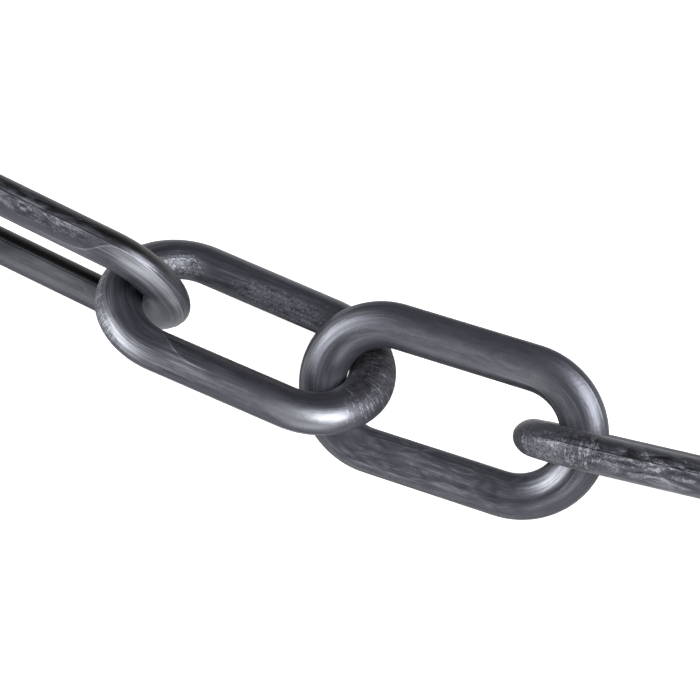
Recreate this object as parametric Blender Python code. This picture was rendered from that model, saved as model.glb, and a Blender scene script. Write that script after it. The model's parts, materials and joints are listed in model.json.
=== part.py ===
"""One metre of moulded plastic link chain, stretched out on a level floor.

All links are the same moulding: a closed oval ring of one solid bar, whose section is an
oval too, wider in the plane of the ring than across it. Each link hooks into the next, so
that the inner face of one end bears on the inner face of the other, and neighbours lean to
opposite sides, as they do when a chain is laid down.

Metres, +Z up. +X runs along the chain, the floor is z = 0, and the origin is the middle of
the chain's footprint.
"""
import math

import bpy
import numpy as np
from mathutils import Matrix, Vector

# Driving dimensions of one link
LINK_LENGTH = 0.0550
LINK_WIDTH = 0.0310
BAR_WIDTH = 0.0080          # the bar's section, in the plane of the link
BAR_THICKNESS = 0.0062      # the bar's section, across the plane of the link

# The chain
LINK_COUNT = 26
PLAY = 0.0005               # between the true curves of two links that bear on each other

# How finely the curves are faceted
BAR_SIDES = 12
END_STATIONS = 8            # round each half-circle end of a link

# How the chain lies: its heading swings through one slow S, and the links lean to
# alternate sides. Angles are in degrees, and a lean is measured from lying flat.
SWING = 16.0
SWING_MIDDLE = 13.5
LEAN = 50.0
LEAN_VARIATION = 5.0
CHANGEOVER = 13             # past this link the alternation has slipped by one

# The chain is twisted near its middle. There link 12 stands on its edge, and its
# neighbours lie nearly flat, carried clear of the floor by the links that they hook into.
# A tilt lowers a link's right-hand end, and a height is that of a carried link's middle.
HEADINGS = {12: -2.7, 13: -1.9, 14: -0.3, 15: 5.1}
LEANS = {9: 32.0, 10: -66.0, 11: 22.0, 12: -88.0, 13: -18.4, 14: 40.0, 15: -64.7}
TILTS = {11: -9.0, 12: 11.5, 13: 6.4, 14: -4.3, 15: -3.3}
CARRIED_HEIGHTS = {9: 0.0112, 11: 0.0172, 13: 0.0129}

# Silver-grey plastic, filled with metallic pigment
PLASTIC_COLOUR = (0.105, 0.108, 0.125, 1.0)
PLASTIC_ROUGHNESS = 0.38
PLASTIC_METALLIC = 0.35

END_RADIUS = (LINK_WIDTH - BAR_WIDTH) / 2                # of the bar's centre line
STRAIGHT = LINK_LENGTH - BAR_WIDTH - 2 * END_RADIUS      # of the bar's centre line
REACH = STRAIGHT / 2 + END_RADIUS                        # from a link's middle to that line


def clear_scene():
    """Remove what the opening scene holds."""
    for item in list(bpy.data.objects):
        bpy.data.objects.remove(item, do_unlink=True)


def new_collection(name):
    """A collection of that name, linked to the scene."""
    collection = bpy.data.collections.new(name)
    bpy.context.scene.collection.children.link(collection)
    return collection


def plastic():
    """The plastic's material."""
    material = bpy.data.materials.new("pewter_plastic")
    material.use_nodes = True
    shader = material.node_tree.nodes["Principled BSDF"]
    shader.inputs["Base Color"].default_value = PLASTIC_COLOUR
    shader.inputs["Roughness"].default_value = PLASTIC_ROUGHNESS
    shader.inputs["Metallic"].default_value = PLASTIC_METALLIC
    material.diffuse_color = PLASTIC_COLOUR
    return material


def closed_curve(name, points):
    """A closed curve of straight runs through the points."""
    curve = bpy.data.curves.new(name, "CURVE")
    curve.dimensions = "3D"
    spline = curve.splines.new("POLY")
    spline.points.add(len(points) - 1)
    for point, place in zip(spline.points, points):
        point.co = (*place, 1.0)
    spline.use_cyclic_u = True
    return curve


def bar_profile(guides):
    """The bar's section: an oval whose flats, not corners, are at the true size.

    The sections stand on the mitres of the ring's runs, so the width is opened by the
    cosine of half a turn as well.
    """
    half_side = math.pi / BAR_SIDES
    half_turn = math.pi / (2 * END_STATIONS)
    half_width = BAR_WIDTH / 2 / math.cos(half_side) / math.cos(half_turn)
    half_thickness = BAR_THICKNESS / 2 / math.cos(half_side)
    points = []
    for side in range(BAR_SIDES):
        angle = -half_side * (2 * side + 1)
        points.append((half_width * math.cos(angle), half_thickness * math.sin(angle), 0.0))
    profile = bpy.data.objects.new("bar_profile", closed_curve("bar_profile", points))
    profile.hide_render = True
    profile.display_type = "WIRE"
    guides.objects.link(profile)
    return profile


def link_outline():
    """The bar's centre line: two half-circle ends joined by two straight sides.

    The runs touch the half circles from outside, so that the middle run of each end is
    square to the link's length and the sides are at the true width.
    """
    half_turn = math.pi / (2 * END_STATIONS)
    radius = END_RADIUS / math.cos(half_turn)
    points = []
    for side in (1, -1):
        for station in range(END_STATIONS):
            angle = -math.pi / 2 + half_turn * (2 * station + 1)
            across = radius * math.cos(angle) + STRAIGHT / 2
            points.append((side * across, side * radius * math.sin(angle), 0.0))
    return points


def link_shape(guides, material):
    """The curve that all links share."""
    curve = closed_curve("chain_link", link_outline())
    curve.bevel_mode = "OBJECT"
    curve.bevel_object = bar_profile(guides)
    curve.twist_mode = "Z_UP"
    curve.materials.append(material)
    curve.splines[0].use_smooth = True
    return curve


def centre_line(samples=48):
    """Points on the true centre line of a link, and the outward direction at each."""
    angle = np.linspace(-math.pi / 2, math.pi / 2, samples)
    outward = np.stack([np.cos(angle), np.sin(angle), np.zeros(samples)], axis=1)
    end = outward * END_RADIUS + [STRAIGHT / 2, 0, 0]
    return np.concatenate([end, -end]), np.concatenate([outward, -outward])


def clearance(first, second):
    """The gap between two placed links, each a matrix.

    For every pair of points on the two centre lines it is their distance, less how far
    each bar's oval section reaches towards the other.
    """
    points, outward = centre_line()
    places, reaches = [], []
    for matrix in (first, second):
        turn = np.array(matrix.to_3x3())
        places.append(points @ turn.T + np.array(matrix.translation))
        reaches.append((outward @ turn.T * BAR_WIDTH / 2, turn[:, 2] * BAR_THICKNESS / 2))
    apart = places[1][None, :, :] - places[0][:, None, :]
    distance = np.linalg.norm(apart, axis=2)
    towards = apart / distance[:, :, None]
    gap = distance
    for (wide, thick), pattern in zip(reaches, ("ijk,ik->ij", "ijk,jk->ij")):
        gap = gap - np.hypot(np.einsum(pattern, towards, wide), towards @ thick)
    return gap.min()


def attitude(number):
    """How link number lies: its heading, its tilt and its lean, as one rotation."""
    heading = SWING * math.sin(2 * math.pi * (number - SWING_MIDDLE) / LINK_COUNT)
    heading = HEADINGS.get(number, heading)
    side = 1 if (number % 2 == 0) == (number > CHANGEOVER) else -1
    lean = side * (LEAN + LEAN_VARIATION * math.sin(2.4 * number))
    lean = LEANS.get(number, lean)
    tilt = TILTS.get(number, 0.0)
    turn = Matrix.Rotation(math.radians(heading), 4, "Z")
    turn @= Matrix.Rotation(math.radians(tilt), 4, "Y")
    return turn @ Matrix.Rotation(math.radians(lean), 4, "X")


def next_place(last, turn, height):
    """Where the next link lies: pulled along until it is PLAY clear of the last one."""
    low, high = REACH - BAR_WIDTH, REACH
    for _ in range(24):
        reach = (low + high) / 2
        middle = last @ Vector((reach, 0, 0)) + turn @ Vector((reach, 0, 0))
        middle.z = height
        placed = Matrix.Translation(middle) @ turn
        if clearance(last, placed) > PLAY:
            low = reach
        else:
            high = reach
    return placed


def lay_chain(corners):
    """Each link's place, from the first on, with the footprint centred on the origin.

    corners are the corners of one link's own shape. A link that nothing else carries has
    its lowest corner on the floor.
    """
    places = []
    for number in range(1, LINK_COUNT + 1):
        turn = attitude(number)
        height = -(corners @ np.array(turn.to_3x3()).T)[:, 2].min()
        height = CARRIED_HEIGHTS.get(number, height)
        if places:
            places.append(next_place(places[-1], turn, height))
        else:
            places.append(Matrix.Translation((0, 0, height)) @ turn)
    cloud = [corners @ np.array(m.to_3x3()).T + np.array(m.translation) for m in places]
    cloud = np.concatenate(cloud)
    middle = (cloud.min(axis=0) + cloud.max(axis=0)) / 2
    shift = Matrix.Translation((-middle[0], -middle[1], 0))
    return [shift @ place for place in places]


def shape_corners(item):
    """The corners of an object's evaluated mesh, in its own frame."""
    seen = item.evaluated_get(bpy.context.evaluated_depsgraph_get())
    mesh = seen.to_mesh()
    corners = np.empty(len(mesh.vertices) * 3)
    mesh.vertices.foreach_get("co", corners)
    seen.to_mesh_clear()
    return corners.reshape(-1, 3)


def build_chain():
    """Make every link and lay the chain."""
    clear_scene()
    links = new_collection("plastic_chain")
    guides = new_collection("guides")
    shape = link_shape(guides, plastic())
    items = []
    for number in range(1, LINK_COUNT + 1):
        item = bpy.data.objects.new(f"link_{number:02d}", shape)
        links.objects.link(item)
        items.append(item)
    for item, place in zip(items, lay_chain(shape_corners(items[0]))):
        item.matrix_world = place
    return items


build_chain()
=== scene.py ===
# %% [markdown]
# # A moulded plastic link chain
#
# This scene dresses one metre of plastic link chain: the silver-grey barrier chain that is
# moulded link through link and cut from a reel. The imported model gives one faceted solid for
# each link, with its place. Here every link gets its true smooth shape, its mould parting
# line, and a plastic whose metallic pigment shows how it flowed into the mould.

# %% Load the frame
import json
import math

import bpy
import numpy as np
from mathutils import Matrix, Vector

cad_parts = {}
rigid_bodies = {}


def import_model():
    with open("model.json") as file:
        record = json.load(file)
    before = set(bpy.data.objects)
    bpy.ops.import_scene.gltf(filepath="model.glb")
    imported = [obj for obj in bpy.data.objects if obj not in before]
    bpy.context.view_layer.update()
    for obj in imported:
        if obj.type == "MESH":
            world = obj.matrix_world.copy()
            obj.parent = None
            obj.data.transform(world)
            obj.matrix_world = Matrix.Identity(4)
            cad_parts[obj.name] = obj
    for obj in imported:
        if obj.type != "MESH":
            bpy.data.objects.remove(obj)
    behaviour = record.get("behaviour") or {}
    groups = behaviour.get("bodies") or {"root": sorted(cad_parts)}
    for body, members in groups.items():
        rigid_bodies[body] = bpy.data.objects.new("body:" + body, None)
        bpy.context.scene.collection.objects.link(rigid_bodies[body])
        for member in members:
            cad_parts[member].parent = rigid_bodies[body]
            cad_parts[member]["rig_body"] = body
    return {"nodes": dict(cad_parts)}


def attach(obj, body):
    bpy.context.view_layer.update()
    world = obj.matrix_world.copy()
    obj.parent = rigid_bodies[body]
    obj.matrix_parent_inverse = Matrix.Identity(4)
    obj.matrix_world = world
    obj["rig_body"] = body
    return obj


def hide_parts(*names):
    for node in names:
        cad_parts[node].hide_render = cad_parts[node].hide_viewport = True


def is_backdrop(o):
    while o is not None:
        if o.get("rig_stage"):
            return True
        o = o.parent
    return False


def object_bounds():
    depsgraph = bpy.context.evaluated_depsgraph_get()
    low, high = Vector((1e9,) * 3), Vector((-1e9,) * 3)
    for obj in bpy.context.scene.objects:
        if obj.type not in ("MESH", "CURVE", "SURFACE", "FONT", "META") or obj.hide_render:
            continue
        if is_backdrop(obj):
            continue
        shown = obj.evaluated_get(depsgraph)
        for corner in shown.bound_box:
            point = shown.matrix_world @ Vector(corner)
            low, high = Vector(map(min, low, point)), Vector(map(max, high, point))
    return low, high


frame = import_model()
cad_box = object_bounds()
links = sorted(name for name in frame["nodes"] if name.startswith("link_"))
print(len(links), "links in the frame")

# %% [markdown]
# ## Where each link lies
#
# A link is symmetric about its own three middle planes, so its solid's corners tell its place.
# Their mean is the link's middle. Their principal axes are its length, its width and its
# normal, longest spread first. Reading them from the solid keeps the smooth link exactly where
# the solid is, and no list of places has to be kept here.

# %% Read a link's place from its solid
MILLIMETRE = 0.001


def link_place(node):
    """A link's middle and its axes, as the rows length, width and normal.

    The axes are the eigenvectors of the corners' covariance, largest first. The length
    points along +X and the normal upwards, and the width is normal cross length.
    """
    mesh = frame["nodes"][node].data
    corners = np.empty(len(mesh.vertices) * 3)
    mesh.vertices.foreach_get("co", corners)
    corners = np.unique(np.round(corners.reshape(-1, 3), 6), axis=0)
    middle = corners.mean(axis=0)
    _, vectors = np.linalg.eigh((corners - middle).T @ (corners - middle))
    length = vectors[:, 2] * np.sign(vectors[0, 2])
    normal = vectors[:, 0] * np.sign(vectors[2, 0])
    return middle, np.stack([length, np.cross(normal, length), normal])


places = {name: link_place(name) for name in links}
for name in links[11:15]:
    print(name, "middle in mm", np.round(places[name][0] / MILLIMETRE, 1))

# %% [markdown]
# ## The shape of one link
#
# Every link is the same moulding: two half-circle ends joined by straight sides. Its bar is no
# plain oval. A mould opens easily only if its halves taper, so the bar is drawn in between its
# widest points, like a rounded lozenge, with a soft ridge along its outer and inner faces.
# A section like that is easiest to give by its reach: how far it extends in each direction.
#
# The solids' bars are 8 mm by 6.2 mm across their flats, and their corners reach further. The
# smooth surface runs between the two, so its reaches are a little over half of those sizes.

# %% The sizes of a link, in millimetres
LINK_LENGTH = 55.0
LINK_WIDTH = 31.0
BAR_WIDTH = 8.0                       # of the solids' bars, in the link's plane
HALF_WIDE = 4.07                      # the smooth bar's reach in the link's plane
HALF_THICK = 3.16                     # its reach along the link's normal
DRAWN_IN = 0.045                      # how much the taper takes off between the two
END_RADIUS = (LINK_WIDTH - BAR_WIDTH) / 2
STRAIGHT = LINK_LENGTH - LINK_WIDTH
TURN = math.pi * END_RADIUS
GIRTH = 2 * TURN + 2 * STRAIGHT
MEAN_REACH = (HALF_WIDE + HALF_THICK) / 2 - DRAWN_IN
REACH_SWING = (HALF_WIDE - HALF_THICK) / 2
ROUND = 2 * math.pi * MEAN_REACH
TABLE_SIZE = 6001                     # for reading an angle from the way round
print("the bar is", round(GIRTH, 1), "mm long and", round(ROUND, 1), "mm round")


def section(angle):
    """The bar's section where its surface faces that angle; 0 is outward and 90 degrees up.

    reach h = mean + swing cos 2a + drawn_in cos 4a
    point = h (cos a, sin a) + h' (-sin a, cos a)
    """
    reach = MEAN_REACH + REACH_SWING * np.cos(2 * angle) + DRAWN_IN * np.cos(4 * angle)
    slope = -2 * REACH_SWING * np.sin(2 * angle) - 4 * DRAWN_IN * np.sin(4 * angle)
    out = reach * np.cos(angle) - slope * np.sin(angle)
    up = reach * np.sin(angle) + slope * np.cos(angle)
    return out, up


def way_round(angle):
    """How far round the bar that angle is, in mm: the integral of h + h''."""
    return (MEAN_REACH * angle - 1.5 * REACH_SWING * np.sin(2 * angle)
            - 3.75 * DRAWN_IN * np.sin(4 * angle))


def angle_there(way):
    """The inverse of way_round, read from a fine table."""
    table = np.linspace(-2 * math.pi, 4 * math.pi, TABLE_SIZE)
    return np.interp(way, way_round(table), table)


# %% [markdown]
# ## The mould's parting line
#
# Two halves of a mould meet along each bar, and leave a hairline ridge on the outer face and
# another on the inner face. The halves never meet quite at the middle, so each link has its
# own two angles, outer and inner. The grid's columns follow those lines and crowd together
# beside them, so that a few faces can carry a ridge less than a tenth of a millimetre high.

# %% Place the grid
STATIONS = 172                        # along the bar
COARSE_COLUMNS = 21                   # between the two parting lines, on each side
RIDGE_COLUMNS = np.array([0.09, 0.20, 0.40])     # mm from a parting line
RIDGE_HEIGHT = 0.05
RIDGE_SPREAD = 0.11
PARTING = {"link_12": (-22, 188), "link_13": (-14, 216), "link_14": (36, 198), "link_15": (20, 175)}
PARTING_DRIFT = {"link_12": -15}      # of the outer line, in the middle of the right-hand end
PARTING_BY_CHANCE = 26                # degrees, to one side or the other


def centre_line(run):
    """Points and outward directions at distances run along the bar.

    The right-hand end turns from -90 to 90 degrees, the upper side runs back, the left-hand
    end turns on to 270 degrees, and the lower side closes the ring.
    """
    knots = np.cumsum([0, TURN, STRAIGHT, TURN, STRAIGHT])
    angle = np.interp(run, knots, np.radians([-90, 90, 90, 270, 270]))
    shift = np.interp(run, knots, np.array([1, 1, -1, -1, 1]) * STRAIGHT / 2)
    outward = np.stack([np.cos(angle), np.sin(angle), np.zeros_like(angle)], axis=-1)
    points = outward * END_RADIUS
    points[..., 0] += shift
    return points, outward


def columns(outer, inner, drift, rightward):
    """Angles round the bar, and each one's distance from the nearer parting line in mm.

    outer line = outer + drift times rightward squared, for each station of the bar
    """
    start = way_round(np.radians(outer + drift * np.clip(rightward, 0, 1) ** 2))
    middle = np.full_like(start, way_round(math.radians(inner)))
    edge = RIDGE_COLUMNS[-1]
    ways, gaps = [], []
    for low, high in ((start, middle), (middle, start + ROUND)):
        span = (high - low)[:, None]
        near_low = np.concatenate([[0], RIDGE_COLUMNS]) + 0 * span
        coarse = edge + (span - 2 * edge) * np.arange(1, COARSE_COLUMNS + 1) / (COARSE_COLUMNS + 1)
        steps = np.concatenate([near_low, coarse, span - RIDGE_COLUMNS[::-1]], axis=1)
        ways.append(low[:, None] + steps)
        gaps.append(np.where(steps < span / 2, steps, steps - span))
    return angle_there(np.concatenate(ways, axis=1)), np.concatenate(gaps, axis=1)


run = np.linspace(0, GIRTH, STATIONS, endpoint=False)[:, None]
run = np.repeat(run, 2 * (COARSE_COLUMNS + 2 * len(RIDGE_COLUMNS) + 1), axis=1)
line_points, outward = centre_line(run)
print("grid of", run.shape, "points")

# %% [markdown]
# ## Shape, ridge and crown
#
# The bar's surface is its centre line plus its section. The ridge is a bell curve of the
# distance to the nearer parting line. The ends are a little fuller on their inner side, where
# the next link bears, so that links which pull on each other look as if they touch. The one
# link end that points at the middle of the view is blunt, as if cut off its sprue there.

# %% The link's surface in its own frame, in millimetres
CROWN_FILL = {"link_13": (0.10, 0.29), "link_14": (0.29, 0.10)}     # left and right end
CROWN_FILL_ELSEWHERE = (0.10, 0.10)
BLUNTED = {"link_15": 0.6}                                          # off the left end
BLUNT_POWER = 10


def link_surface(node, angles, seam):
    """Points of the moulded surface: centre line + section + (ridge + fill - cut) normal.

    ridge = height exp(-(seam / spread)^2)
    fill = most, times how far it looks along the link, squared, times how far inwards
    cut = most, times a high power of how far it looks to the left, times outwards squared
    """
    up = np.array([0.0, 0.0, 1.0])
    out_by, up_by = (part[..., None] for part in section(angles))
    cosine, sine = np.cos(angles)[..., None], np.sin(angles)[..., None]
    normal = cosine * outward + sine * up
    along = outward[..., :1]
    left, right = CROWN_FILL.get(node, CROWN_FILL_ELSEWHERE)
    ridge = RIDGE_HEIGHT * np.exp(-(seam / RIDGE_SPREAD) ** 2)[..., None]
    fill = np.where(along < 0, left, right) * along ** 2 * np.clip(-cosine, 0, 1)
    cut = BLUNTED.get(node, 0) * np.clip(-along, 0, 1) ** BLUNT_POWER * np.clip(cosine, 0, 1) ** 2
    return line_points + out_by * outward + up_by * up + (ridge + fill - cut) * normal


def ring_faces(rows, columns):
    """Quads of a grid that closes on itself both ways, facing outwards."""
    row, column = np.mgrid[0:rows, 0:columns]
    next_row, next_column = (row + 1) % rows, (column + 1) % columns
    corners = [row * columns + column, next_row * columns + column,
               next_row * columns + next_column, row * columns + next_column]
    return np.stack(corners, axis=-1).reshape(-1, 4)


faces = ring_faces(*run.shape)
print(len(faces) * 2, "triangles a link,", len(faces) * 2 * len(links), "in all")

# %% [markdown]
# ## Marks on the bars
#
# Each link carries a few patches, given by where they are along the bar in millimetres, where
# round the bar in degrees, how far they reach each way, and how strong they are.
# A shade makes the plastic darker or paler. Some shades are more or less pigment at its skin, and
# many on the middle links are painted light: painted shade where a bar faces the dark top and back
# of the studio, and painted highlights and light bands where it faces the lamps. A streak is drawn
# along the bar and a wisp is cloudy. A swirl is pale pigment curled up by the melt. A scuff is a
# field of scratches across the bar. A crinkle is skin that froze while it folded. Where a bar is
# plain, the light and dark hairlines at its parting line are left out. The links in the middle have
# theirs listed, the others by chance.
#
# The marks could be painted on a flat map, but a ring has no good place to cut one. So each
# mark is a strength, worked out for every point of the mesh and stored there by name.

# %% Patches: kind, along, round, half length, half angle, strength
KINDS = ("pigment_and_painted_light", "streak", "wisp", "swirl", "scuff", "crinkle", "plain")
PATCHES = {
    # Painted light on link_12: the shades at 106 and 6 mm, and at 146 degrees at 48 mm, are painted
    # shade where its bars face the dark top and back of the studio; the shades at 222 degrees at 48
    # mm and at 7 mm are a painted light band and a painted highlight.
    "link_12": [
        ("pigment_and_painted_light", 106, 34, 24, 44, -0.26), ("pigment_and_painted_light", 6, 25, 9, 42, -0.16),
        ("pigment_and_painted_light", 48, 146, 22, 34, -0.60), ("pigment_and_painted_light", 48, 222, 24, 38, 0.22),
        ("pigment_and_painted_light", 2, -62, 6, 28, -0.10), ("pigment_and_painted_light", 7, -42, 7, 24, 0.42),
        ("pigment_and_painted_light", 110, -50, 20, 40, 0.02), ("pigment_and_painted_light", 24, -40, 8, 60, 0.08),
        ("wisp", 109, 4, 13, 50, 1.0), ("streak", 8, -38, 9, 44, 1.0),
        ("streak", 104, 20, 14, 40, 0.6), ("swirl", 107.5, -38, 9.5, 22, 0.8)],
    # Painted light on link_13: the shade at 108 mm and 104 degrees is painted shade, and those at
    # 112 mm and at 3.5 mm are a painted light band and a painted highlight.
    "link_13": [
        ("streak", 52, 140, 26, 60, 1.0), ("streak", 68, 110, 12, 70, 1.0),
        ("pigment_and_painted_light", 52, 108, 26, 30, -0.10), ("pigment_and_painted_light", 66, 150, 9, 40, 0.16),
        ("pigment_and_painted_light", 108, 104, 26, 40, -0.22), ("pigment_and_painted_light", 112, 52, 22, 30, 0.16),
        ("pigment_and_painted_light", 86, 26, 10, 40, 0.16), ("pigment_and_painted_light", 3.5, 44, 6, 24, 0.17),
        ("pigment_and_painted_light", 20, 70, 9, 90, -0.14), ("crinkle", 67, 142, 7, 40, 0.8),
        ("crinkle", 44, 146, 12, 40, 0.8), ("scuff", 20.5, 70, 11.0, 95, 1.0),
        ("scuff", 84, 10, 9, 40, 0.9), ("streak", 92, 60, 16, 70, 1.0),
        ("plain", 50, 0, 60, 60, 0.6)],
    # Painted light on link_14: the shades at 14, 72 and 26 mm are painted highlights on its ends,
    # and the two at 48 mm are painted shade and a painted light band on that bar.
    "link_14": [
        ("wisp", 108, 90, 16, 80, 0.42), ("wisp", 98, 66, 8, 50, 0.5),
        ("pigment_and_painted_light", 108, 90, 18, 60, 0.06), ("pigment_and_painted_light", 14, 112, 7, 26, 0.20),
        ("streak", 14, 110, 10, 50, 1.0), ("pigment_and_painted_light", 72, 50, 9, 14, 0.22),
        ("streak", 74, 60, 14, 50, 0.9), ("pigment_and_painted_light", 48, 46, 26, 28, -0.12),
        ("pigment_and_painted_light", 48, 106, 24, 24, 0.14), ("streak", 27, 50, 10, 40, 0.35),
        ("pigment_and_painted_light", 26, 46, 8, 16, 0.10), ("pigment_and_painted_light", 3, 100, 7, 26, -0.08),
        ("streak", 108, 90, 20, 80, 0.5), ("plain", 40, 36, 26, 40, 0.85)],
    "link_15": [
        ("pigment_and_painted_light", 78, 0, 6, 120, -0.16), ("pigment_and_painted_light", 88, -10, 5, 60, 0.16),
        ("crinkle", 90, 4, 8, 95, 0.8), ("crinkle", 101, 4, 6, 70, 0.6),
        ("pigment_and_painted_light", 104, 56, 18, 34, -0.18), ("scuff", 94, 0, 3.5, 100, 0.6),
        ("scuff", 84, 0, 3.0, 100, 0.6), ("swirl", 107, 10, 7, 60, 0.7),
        ("wisp", 111, 0, 15, 90, 0.9), ("plain", 80, 20, 14, 60, 0.8)],
}
PATCHES_BY_CHANCE = 9
EDGE_POWER = 6                        # the higher, the harder a patch's edge


def patches_of(node, chance):
    """The patches of one link, from the list or by chance."""
    if node in PATCHES:
        return PATCHES[node]
    kinds = [KINDS[number % len(KINDS)] for number in range(PATCHES_BY_CHANCE)]
    return [(kind, chance.uniform(0, GIRTH), chance.uniform(-180, 180), chance.uniform(5, 12),
             chance.uniform(30, 80), chance.uniform(-0.25, 0.2) if kind == "pigment_and_painted_light"
             else chance.uniform(0.5, 1.0)) for kind in kinds]


def patch_strength(angles, along, around, half_along, half_around):
    """One inside the patch, falling to nothing across its edge: 1 / (1 + distance^power)."""
    gap_along = (run - along + GIRTH / 2) % GIRTH - GIRTH / 2
    gap_around = (np.degrees(angles) - around + 180) % 360 - 180
    distance = np.hypot(gap_along / half_along, gap_around / half_around)
    return 1 / (1 + distance ** EDGE_POWER)


def patch_fields(node, angles, chance):
    """The strength of each kind of mark at every point: shades add up, others overlap."""
    fields = {kind: np.zeros_like(run) for kind in KINDS}
    for kind, *place, strength in patches_of(node, chance):
        patch = strength * patch_strength(angles, *place)
        fields[kind] = fields[kind] + patch if kind == "pigment_and_painted_light" else np.maximum(fields[kind], patch)
    return fields


print("marks placed by hand on", ", ".join(PATCHES))

# %% [markdown]
# ## Weld lines
#
# Where two fronts of melt met, a line crosses the bar at a slant and then follows it. It is told
# here by the distance to it, signed, so that one side of it can be painted paler: a painted light
# band, as on the lit side of a crease. Its place round the bar swings from one angle to another
# within a short run.
# A groove could be cut in the mesh for it, but the real line can hardly be felt.

# %% Weld lines: along, swing in mm, angles before and after
WELDS = {"link_12": (118.5, 2.6, -78, -16), "link_13": (97.5, 3.2, 135, 62),
         "link_14": (30.0, 6.0, 150, 120), "link_15": (104, 2.5, 100, -50)}


def weld_distance(node, angles, chance):
    """How far each point is from the weld line, in millimetres, signed.

    line = middle + half the swing times tanh((along - place) / length)
    """
    by_chance = (chance.uniform(0, GIRTH), chance.uniform(2, 5), chance.uniform(60, 130),
                 chance.uniform(-40, 40))
    along, length, before, after = WELDS.get(node, by_chance)
    gap = (run - along + GIRTH / 2) % GIRTH - GIRTH / 2
    line = (before + after) / 2 + (after - before) / 2 * np.tanh(gap / length)
    return np.radians((np.degrees(angles) - line + 180) % 360 - 180) * MEAN_REACH, gap


print("weld lines placed by hand on", ", ".join(WELDS))

# %% [markdown]
# ## Patterns that follow the bar
#
# Streaks run along the bar, and a ring has no place where a flat map could be cut unseen. So
# the pattern is read from four numbers that close on themselves: the bar is laid on a circle
# of its own length, and the section's two offsets are the third and fourth. Stretching the
# first two makes streaks. The fourth also carries the link's number, so no two are alike.

# %% Make the links
LINK_STEP = 90.0                      # mm of pattern between one link and the next
SEED = 20


def pattern_place(number, angles):
    """Ring place (x, y, z) and the fourth number of every grid point, in millimetres."""
    around = 2 * math.pi * run / GIRTH
    circle = GIRTH / (2 * math.pi)
    out_by, up_by = section(angles)
    ring = np.stack([circle * np.cos(around), circle * np.sin(around), out_by], axis=-1)
    return ring, up_by + number * LINK_STEP


def add_values(mesh, name, values):
    """Store one value, or one vector, for every point of the mesh."""
    vector = values.ndim == 3
    attribute = mesh.attributes.new(name, "FLOAT_VECTOR" if vector else "FLOAT", "POINT")
    flat = np.ascontiguousarray(values, dtype=np.float32).ravel()
    attribute.data.foreach_set("vector" if vector else "value", flat)


def mould_link(number, node):
    """A smooth link in its solid's place, with the values that its plastic reads."""
    chance = np.random.default_rng(SEED + number)
    side = PARTING_BY_CHANCE if number % 2 else -PARTING_BY_CHANCE
    outer, inner = PARTING.get(node, (side, 180 - side))
    angles, seam = columns(outer, inner, PARTING_DRIFT.get(node, 0), outward[:, 0, 0])
    middle, axes = places[node]
    points = link_surface(node, angles, seam).reshape(-1, 3) * MILLIMETRE @ axes + middle
    mesh = bpy.data.meshes.new(f"{node}_moulding")
    mesh.from_pydata(points, [], faces)
    mesh.shade_smooth()
    ring, fourth = pattern_place(number, angles)
    weld, weld_run = weld_distance(node, angles, chance)
    values = {"ring": ring, "fourth": fourth, "seam": seam, "weld": weld,
              "weld_run": weld_run, **patch_fields(node, angles, chance)}
    for name, value in values.items():
        add_values(mesh, name, value)
    piece = bpy.data.objects.new(mesh.name, mesh)
    bpy.context.scene.collection.objects.link(piece)
    return piece


# %% [markdown]
# ## The plastic
#
# Polyethylene filled with fine metal flake shines partly as a metal and partly as a dark plastic.
# One tone, from 0 to 1, drives it. The streaks, the wisps and the marks, with their painted
# highlights and painted shade, are added up to that tone, which then picks the base colour.
# Roughness and bump take their own share of each.
#
# A node tree like that could be laid out by hand, but its sums are long. A small helper that
# joins nodes as sums and products keeps each mark readable on a line of its own.

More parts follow.
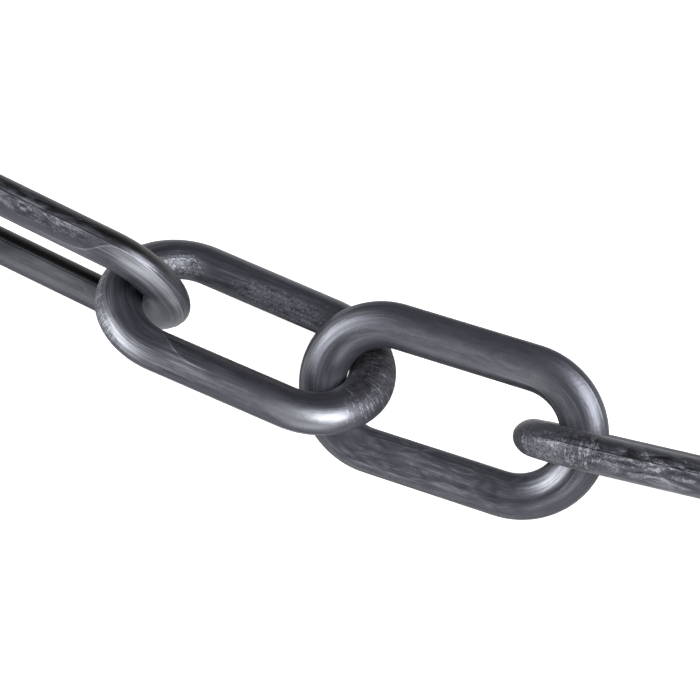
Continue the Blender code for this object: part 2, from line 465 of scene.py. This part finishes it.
# %% Node helpers
class Weave:
    """A material's node tree, written as sums and products of sockets and numbers."""

    def __init__(self, name):
        self.material = bpy.data.materials.new(name)
        self.material.use_nodes = True
        self.tree = self.material.node_tree
        self.shader = self.tree.nodes["Principled BSDF"]

    def put(self, socket, value):
        """Link a socket, or write a number or colour into it."""
        if isinstance(value, bpy.types.NodeSocket):
            self.tree.links.new(value, socket)
        else:
            socket.default_value = value

    def read(self, name, vector=False):
        """A value stored on the mesh."""
        node = self.tree.nodes.new("ShaderNodeAttribute")
        node.attribute_name = name
        return node.outputs["Vector" if vector else "Fac"]

    def sum(self, operation, *values):
        """One step of arithmetic."""
        node = self.tree.nodes.new("ShaderNodeMath")
        node.operation = operation
        for socket, value in zip(node.inputs, values):
            self.put(socket, value)
        return node.outputs[0]

    def times(self, first, *others):
        """The product of them all."""
        for other in others:
            first = self.sum("MULTIPLY", first, other)
        return first

    def total(self, first, *others):
        """The sum of them all."""
        for other in others:
            first = self.sum("ADD", first, other)
        return first

    def swing(self, value, strength):
        """Noise as a swing about nothing: strength times (2 value - 1)."""
        return self.times(self.sum("MULTIPLY_ADD", value, 2.0, -1.0), strength)

    def step(self, value, low, high):
        """0 at low and 1 at high, smooth between; low may be the larger."""
        node = self.tree.nodes.new("ShaderNodeMapRange")
        node.interpolation_type = "SMOOTHSTEP"
        self.put(node.inputs[0], value)
        bounds = (low, high, 0.0, 1.0) if low < high else (high, low, 1.0, 0.0)
        for socket, number in zip(node.inputs[1:5], bounds):
            socket.default_value = number
        return node.outputs[0]

    def near(self, value, line, most):
        """1 on the line and 0 further from it than most."""
        return self.step(self.sum("ABSOLUTE", self.sum("SUBTRACT", value, line)), most, 0.15 * most)

    def mix(self, factor, low, high):
        """A colour between two, by the factor."""
        node = self.tree.nodes.new("ShaderNodeMix")
        node.data_type = "RGBA"
        self.put(node.inputs[0], factor)
        self.put(node.inputs[6], low)
        self.put(node.inputs[7], high)
        return node.outputs[2]

    def drawn(self, along, across, detail=2.0, distortion=0.0):
        """Noise that follows the bar, with so many features to a mm along and across it."""
        scaled = self.tree.nodes.new("ShaderNodeVectorMath")
        scaled.operation = "MULTIPLY"
        self.put(scaled.inputs[0], self.read("ring", vector=True))
        scaled.inputs[1].default_value = (along, along, across)
        node = self.tree.nodes.new("ShaderNodeTexNoise")
        node.noise_dimensions = "4D"
        self.put(node.inputs["Vector"], scaled.outputs[0])
        self.put(node.inputs["W"], self.times(self.read("fourth"), across))
        node.inputs["Scale"].default_value = 1.0
        node.inputs["Detail"].default_value = detail
        node.inputs["Distortion"].default_value = distortion
        return node.outputs["Fac"]

    def spread(self, kind, each_mm, **inputs):
        """Noise or cells alike in every direction, with so many features to a millimetre."""
        place = self.tree.nodes.new("ShaderNodeTexCoord")
        node = self.tree.nodes.new(kind)
        if kind == "ShaderNodeTexVoronoi":
            node.feature = "DISTANCE_TO_EDGE"
        self.put(node.inputs["Vector"], place.outputs["Object"])
        node.inputs["Scale"].default_value = each_mm / MILLIMETRE
        for name, value in inputs.items():
            node.inputs[name].default_value = value
        return node.outputs["Distance" if kind == "ShaderNodeTexVoronoi" else "Fac"]


# %% [markdown]
# ## Mixing the marks
#
# Melt that runs along a bar draws its flake into streaks. Where it slows or folds, the flake
# turns up in pale curls and nets. A picture of such plastic could be wrapped round the links,
# but it would repeat on every one. Noise that is stretched along the bar never does. All of it
# is kept weak, and only the patches raise it, because most of a bar is nearly smooth.

# %% The material
BASE_TONE = 0.455
METAL_SHARE = 0.60
BASE_ROUGHNESS = 0.37
BUMP_HEIGHT = 0.02 * MILLIMETRE
DARK = (0.0115, 0.010, 0.011, 1)
MIDDLE = (0.065, 0.068, 0.084, 1)
PALE = (0.290, 0.302, 0.325, 1)


def pewter_plastic():
    """Silver-grey flake-filled plastic with its flow marks, its seam and its scuffs, and with
    painted highlights and painted shade.
    """
    w = Weave("pewter_plastic")
    # Patterns that follow the bar: so many features to a mm along it, and across it
    streak = w.drawn(0.07, 1.5, 3.0)
    fine = w.drawn(0.16, 4.5, 2.0)
    wisp = w.drawn(0.15, 0.52, 4.0, 2.2)
    scratch = w.step(w.drawn(2.6, 0.28, 2.0, 0.9), 0.53, 0.63)

    # Patterns alike in every direction
    grain = w.spread("ShaderNodeTexNoise", 5.0, Detail=2.0)
    curl = w.spread("ShaderNodeTexNoise", 0.36, Detail=2.0, Distortion=3.0)
    fleck = w.spread("ShaderNodeTexNoise", 1.3, Detail=3.0, Distortion=1.6)
    net = w.step(w.spread("ShaderNodeTexVoronoi", 1.15), 0.09, 0.01)

    def patch(name):
        """A mark's strength with a ragged edge."""
        return w.step(w.total(w.read(name), w.swing(fleck, 0.45)), 0.36, 0.66)

    swirl, scuff, crinkle = patch("swirl"), patch("scuff"), patch("crinkle")
    drawn_out, cloudy = w.read("streak"), w.read("wisp")

    # Each mark's share of the tone
    lines = w.total(w.times(w.swing(streak, 1.0), w.total(w.times(drawn_out, 0.30), 0.05)),
                    w.times(w.swing(fine, 1.0), w.total(w.times(drawn_out, 0.26), 0.07)))
    clouds = w.times(w.swing(wisp, 1.0), w.total(w.times(cloudy, 0.72), 0.10))
    curls = w.times(w.near(curl, 0.5, 0.022), w.step(wisp, 0.40, 0.56))
    swirl_mark = w.times(swirl, w.total(w.times(curls, 0.46), w.swing(wisp, 0.36), 0.02,
                                        w.swing(fleck, 0.24)))
    scuff_mark = w.times(scuff, w.total(w.times(scratch, 0.30), w.swing(fleck, 0.40), -0.10))
    crinkle_mark = w.times(crinkle, w.total(w.times(net, -0.26), w.swing(fleck, 0.40),
                                            w.swing(wisp, 0.20), 0.04))

    # A light hairline with a dark one beside it at the parting line, a painted highlight and
    # painted shade of its ridge, and a paler weld line with a painted light band on one side
    seam, weld = w.read("seam"), w.read("weld")
    clear = w.sum("SUBTRACT", 1.0, w.read("plain"))
    # Painted highlight on the ridge of the parting line and painted shade beside it.
    seam_painted_light = w.times(clear, w.total(w.times(w.near(seam, 0.0, 0.10), 0.22),
                                       w.times(w.near(seam, 0.17, 0.14), -0.36)))
    near_weld = w.near(w.read("weld_run"), 0.0, 16.0)
    weld_line = w.times(w.near(weld, 0.0, 0.26), near_weld)
    # A painted light band on one side of the weld line.
    painted_light_by_weld = w.times(w.step(weld, 0.2, -0.2), w.step(weld, -3.2, -0.3), near_weld)
    # The shades add painted highlights and painted shade to the tone, as well as pigment.
    tone = w.total(BASE_TONE, w.read("pigment_and_painted_light"), lines, clouds, w.swing(grain, 0.09), swirl_mark,
                   scuff_mark, crinkle_mark, seam_painted_light, w.times(weld_line, 0.22),
                   w.times(painted_light_by_weld, 0.12))
    low = w.mix(w.step(tone, -0.05, 0.5), DARK, MIDDLE)
    w.put(w.shader.inputs["Base Color"], w.mix(w.step(tone, 0.4, 1.05), low, PALE))
    w.shader.inputs["Metallic"].default_value = METAL_SHARE
    rough = w.total(BASE_ROUGHNESS, w.swing(wisp, 0.05), w.swing(fine, 0.05), w.times(scuff, 0.16),
                    w.times(crinkle, 0.12), w.times(swirl, 0.05))
    w.put(w.shader.inputs["Roughness"], rough)

    height = w.total(w.swing(fine, 0.35), w.times(w.swing(streak, 1.2), drawn_out),
                     w.swing(grain, 0.18), w.times(scuff_mark, 3.0), w.times(crinkle_mark, 2.6),
                     w.times(swirl_mark, 1.0), w.times(weld_line, -0.8), w.swing(curl, 0.8))
    bump = w.tree.nodes.new("ShaderNodeBump")
    bump.inputs["Distance"].default_value = BUMP_HEIGHT
    bump.inputs["Strength"].default_value = 1.0
    w.put(bump.inputs["Height"], height)
    w.put(w.shader.inputs["Normal"], bump.outputs[0])
    return w.material


plastic = pewter_plastic()
print("the plastic has", len(plastic.node_tree.nodes), "nodes")
for number, node in enumerate(links, start=1):
    piece = mould_link(number, node)
    piece.data.materials.append(plastic)
    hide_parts(node)
    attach(piece, frame["nodes"][node]["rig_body"])
print("moulded", len(links), "links")

# %% [markdown]
# ## Camera
#
# The view looks down at 64 degrees on four links near the middle of the chain, turned so that
# the chain falls from the upper left to the lower right. It could be taken from afar through a
# longer lens, but then near and far bars would look alike. So the camera stands close.

# %% Place the camera
FOCAL_PIXELS = 1514
FRAME_PIXELS = 700
SENSOR = 36
ELEVATION = math.radians(64.2)
DISTANCE = 0.278
VIEW_TURN = math.radians(20.8)
AIM_FROM_LINK_14 = Vector((-0.0222, 0.0101, 0))


def place_camera():
    """Look at a point on the floor from that distance and elevation."""
    turn = Matrix.Rotation(VIEW_TURN, 3, "Z")
    target = Vector(places["link_14"][0]) + AIM_FROM_LINK_14
    target.z = 0
    lens = bpy.data.cameras.new("view")
    lens.sensor_width = SENSOR
    lens.lens = SENSOR * FOCAL_PIXELS / FRAME_PIXELS
    lens.clip_start = 0.01
    camera = bpy.data.objects.new("view", lens)
    away = turn @ Vector((0, -math.cos(ELEVATION), math.sin(ELEVATION)))
    camera.location = target + away * DISTANCE
    camera.rotation_euler = (math.pi / 2 - ELEVATION, 0, VIEW_TURN)
    bpy.context.scene.collection.objects.link(camera)
    bpy.context.scene.camera = camera
    return target, turn


target, turn = place_camera()
print("the camera is", round(DISTANCE / MILLIMETRE), "mm from its target")

# %% [markdown]
# ## Floor and light
#
# The chain lies on a white sweep. Two large soft boxes stand left and right of it, and the
# studio behind it is dim, so that the bars are pale towards the sides and dark along their
# upper and far edges. To the camera the sweep is lit to near white, as a product sweep is,
# while the plastic sees it as a soft grey. A picture of a studio could light it all, but boxes
# are easier to move and to weigh against each other.

# %% Floor
FLOOR_SIZE = 3.0
FLOOR_DROP = 0.2 * MILLIMETRE
FLOOR_GREY = (0.50, 0.50, 0.50, 1)
FLOOR_GLOW = 0.95


def sweep_material():
    """Matt grey-white, lit up for the camera only."""
    w = Weave("white_sweep")
    w.shader.inputs["Base Color"].default_value = FLOOR_GREY
    w.shader.inputs["Roughness"].default_value = 0.9
    glow = w.tree.nodes.new("ShaderNodeEmission")
    glow.inputs["Strength"].default_value = FLOOR_GLOW
    both = w.tree.nodes.new("ShaderNodeAddShader")
    sees = w.tree.nodes.new("ShaderNodeLightPath")
    choose = w.tree.nodes.new("ShaderNodeMixShader")
    w.put(both.inputs[0], w.shader.outputs[0])
    w.put(both.inputs[1], glow.outputs[0])
    w.put(choose.inputs[0], sees.outputs["Is Camera Ray"])
    w.put(choose.inputs[1], w.shader.outputs[0])
    w.put(choose.inputs[2], both.outputs[0])
    w.put(w.tree.nodes["Material Output"].inputs["Surface"], choose.outputs[0])
    return w.material


def lay_floor():
    """A level sheet just under the chain."""
    corners = np.array([(-1, -1, 0), (1, -1, 0), (1, 1, 0), (-1, 1, 0)]) * FLOOR_SIZE
    mesh = bpy.data.meshes.new("floor")
    mesh.from_pydata(corners - (0, 0, FLOOR_DROP), [], [(0, 1, 2, 3)])
    mesh.materials.append(sweep_material())
    floor = bpy.data.objects.new("floor", mesh)
    bpy.context.scene.collection.objects.link(floor)
    floor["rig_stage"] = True


def softbox(name, azimuth, elevation, distance, size, watts):
    """A rectangular area light that faces the middle of the view.

    The azimuth counts from the camera's side, rightwards, and the elevation from the floor.
    """
    azimuth, elevation = math.radians(azimuth), math.radians(elevation)
    towards = turn @ Vector((math.sin(azimuth) * math.cos(elevation),
                             -math.cos(azimuth) * math.cos(elevation), math.sin(elevation)))
    data = bpy.data.lights.new(name, "AREA")
    data.shape = "RECTANGLE"
    data.size, data.size_y = size
    data.energy = watts
    lamp = bpy.data.objects.new(name, data)
    lamp.location = target + towards * distance
    lamp.rotation_euler = towards.to_track_quat("Z", "Y").to_euler()
    bpy.context.scene.collection.objects.link(lamp)


lay_floor()
softbox("left_softbox", -84, 34, 1.0, (0.75, 0.55), 13)
softbox("right_softbox", 72, 46, 1.0, (0.70, 0.60), 19)
softbox("front_softbox", 5, 12, 1.1, (0.80, 0.30), 3)
lamps = [item.name for item in bpy.context.scene.objects if item.type == "LIGHT"]
print("lit by", ", ".join(lamps))

# %% [markdown]
# ## The studio round it
#
# The world's light is a plain grey that falls off towards the back of the studio. It is a
# function of direction alone: the direction's share towards the back picks the strength.
# Where the camera looks past the sweep it sees white.

# %% World
FRONT_STRENGTH = 0.0087
BACK_STRENGTH = 0.0025
FALL = (-0.3, 0.7)                    # of the share towards the back, where the fall runs


def dim_studio():
    """A grey world whose strength falls from the front, through overhead, to the back."""
    world = bpy.data.worlds.new("studio")
    world.use_nodes = True
    tree = world.node_tree
    tree.nodes["Background"].inputs["Color"].default_value = (1, 1, 1, 1)
    place = tree.nodes.new("ShaderNodeTexCoord")
    share = tree.nodes.new("ShaderNodeVectorMath")
    share.operation = "DOT_PRODUCT"
    share.inputs[1].default_value = turn @ Vector((0, 1, 0))
    fall = tree.nodes.new("ShaderNodeMapRange")
    for socket, number in zip(fall.inputs[1:5], (*FALL, FRONT_STRENGTH, BACK_STRENGTH)):
        socket.default_value = number
    tree.links.new(place.outputs["Generated"], share.inputs[0])
    tree.links.new(share.outputs["Value"], fall.inputs[0])
    sees = tree.nodes.new("ShaderNodeLightPath")
    brighter = tree.nodes.new("ShaderNodeMath")
    brighter.operation = "MAXIMUM"
    tree.links.new(fall.outputs[0], brighter.inputs[0])
    tree.links.new(sees.outputs["Is Camera Ray"], brighter.inputs[1])
    tree.links.new(brighter.outputs[0], tree.nodes["Background"].inputs["Strength"])
    bpy.context.scene.world = world


dim_studio()
print("the studio's light falls from", FRONT_STRENGTH, "to", BACK_STRENGTH)
bpy.context.scene.view_settings.view_transform = "Standard"

# %% [markdown]
# ## Sizes
#
# The box round the solids and the box round the dressed chain are printed one after the other. The
# faceted links' corners reach further than the smooth links, so the second box is the smaller.

# %% Print the sizes and finish
sizes = {"cad": [list(corner) for corner in cad_box],
         "visual": [list(corner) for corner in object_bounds()]}
for name, box in sizes.items():
    print(name, "box in m", np.round(box, 4).tolist())
